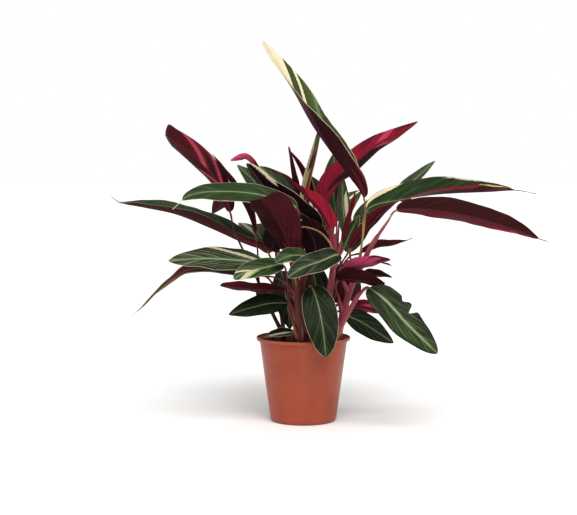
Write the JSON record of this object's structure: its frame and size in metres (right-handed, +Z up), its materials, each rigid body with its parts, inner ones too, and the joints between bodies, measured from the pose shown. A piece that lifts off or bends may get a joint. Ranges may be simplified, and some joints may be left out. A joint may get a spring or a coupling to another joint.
{
  "type": "potted stromanthe triostar plant",
  "caption": "Patterned prayer plant: long green and cream blades with burgundy undersides on red stalks, rooted in soil in a tapered terracotta nursery pot.",
  "frame": {"origin": "centre of the pot's flat underside, which the plant stands on", "axes": "+Z up through the pot's axis, -Y towards the plant's best side, +X to the right seen from there"},
  "size_m": [0.7746, 0.4269, 0.6794],
  "materials": {
    "pot": "satin",
    "soil": "matte",
    "stem": "satin",
    "leaf_green": "satin",
    "leaf_burgundy": "satin"
  },
  "bodies": {
    "root": {"back_green_leaf": "leaf_green", "back_left_high_leaf": "leaf_green", "back_left_low_leaf": "leaf_green", "back_left_middle_leaf": "leaf_green", "back_left_stems": "stem", "back_middle_leaf": "leaf_green", "back_middle_left_leaf": "leaf_green", "back_middle_low_leaf": "leaf_green", "back_middle_right_leaf": "leaf_green", "back_right_high_leaf": "leaf_green", "back_right_leaf": "leaf_green", "back_right_low_leaf": "leaf_green", "back_right_middle_leaf": "leaf_green", "back_right_stems": "stem", "back_side_left_leaf": "leaf_green", "back_side_right_leaf": "leaf_green", "back_stems": "stem", "centre_big_leaf": "leaf_burgundy", "centre_green_leaf": "leaf_green", "centre_left_stems": "stem", "centre_red_leaf": "leaf_burgundy", "centre_stems": "stem", "cream_tip_leaf": "leaf_green", "dark_centre_leaf": "leaf_burgundy", "dark_hook_leaf": "leaf_burgundy", "dark_middle_leaf": "leaf_burgundy", "dark_right_leaf": "leaf_burgundy", "drooping_left_leaf": "leaf_green", "far_right_stems": "stem", "front_leaf": "leaf_green", "green_back_left_leaf": "leaf_green", "green_upper_left_leaf": "leaf_green", "green_upper_middle_leaf": "leaf_green", "inner_back_leaf": "leaf_green", "inner_low_leaf": "leaf_green", "left_long_leaf": "leaf_burgundy", "left_sliver": "leaf_burgundy", "left_stems": "stem", "low_back_right_leaf": "leaf_green", "low_left_leaf": "leaf_green", "low_red_left_leaf": "leaf_burgundy", "low_red_right_leaf": "leaf_burgundy", "low_right_leaf": "leaf_green", "middle_green_leaf": "leaf_green", "middle_stems": "stem", "pink_hook_leaf": "leaf_burgundy", "pink_right_leaf": "leaf_burgundy", "pot": "pot", "right_arch_leaf": "leaf_green", "right_crimson_leaf": "leaf_burgundy", "right_dark_leaf": "leaf_burgundy", "right_inner_leaf": "leaf_green", "right_stems": "stem", "rim_leaf": "leaf_green", "small_right_leaf": "leaf_burgundy", "soil": "soil", "striped_left_leaf": "leaf_green", "tall_leaf": "leaf_burgundy", "thin_right_leaf": "leaf_burgundy", "upper_left_leaf": "leaf_burgundy"}
  },
  "joints": []
}
